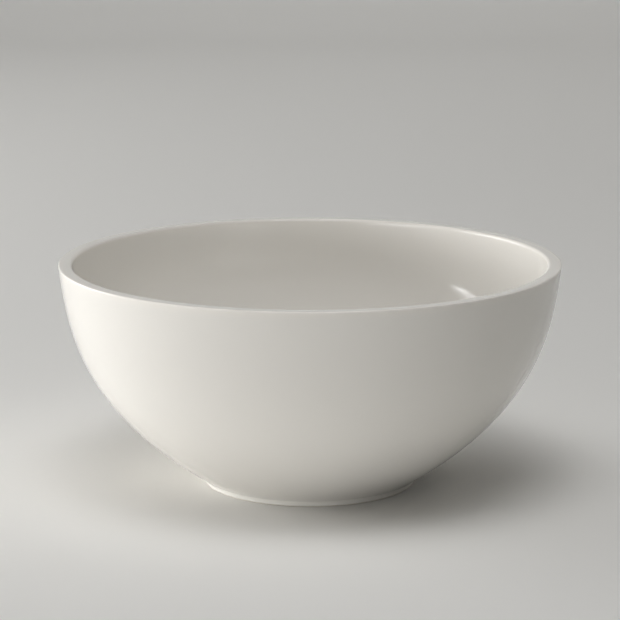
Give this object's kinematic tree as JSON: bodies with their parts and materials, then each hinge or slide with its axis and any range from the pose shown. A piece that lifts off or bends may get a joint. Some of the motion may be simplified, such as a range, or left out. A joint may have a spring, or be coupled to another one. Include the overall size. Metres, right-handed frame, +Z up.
{
  "type": "serving bowl",
  "caption": "Round deep serving bowl with a full curved wall, a thick flat-topped rim and a low bare foot ring, glazed inside and out.",
  "frame": {"origin": "centre of the foot ring on the standing plane", "axes": "+Z up along the bowl's axis of revolution; X and Y are any two directions square to it"},
  "size_m": [0.24, 0.24, 0.1077],
  "materials": {
    "porcelain_biscuit": "matt, fine-grained, wet-rubbed smooth",
    "white_glaze": "glossy clear glaze over warm white porcelain"
  },
  "bodies": {
    "root": {"porcelain_body": "porcelain_biscuit", "glaze_coat": "white_glaze", "well_glaze": "white_glaze"}
  },
  "joints": []
}
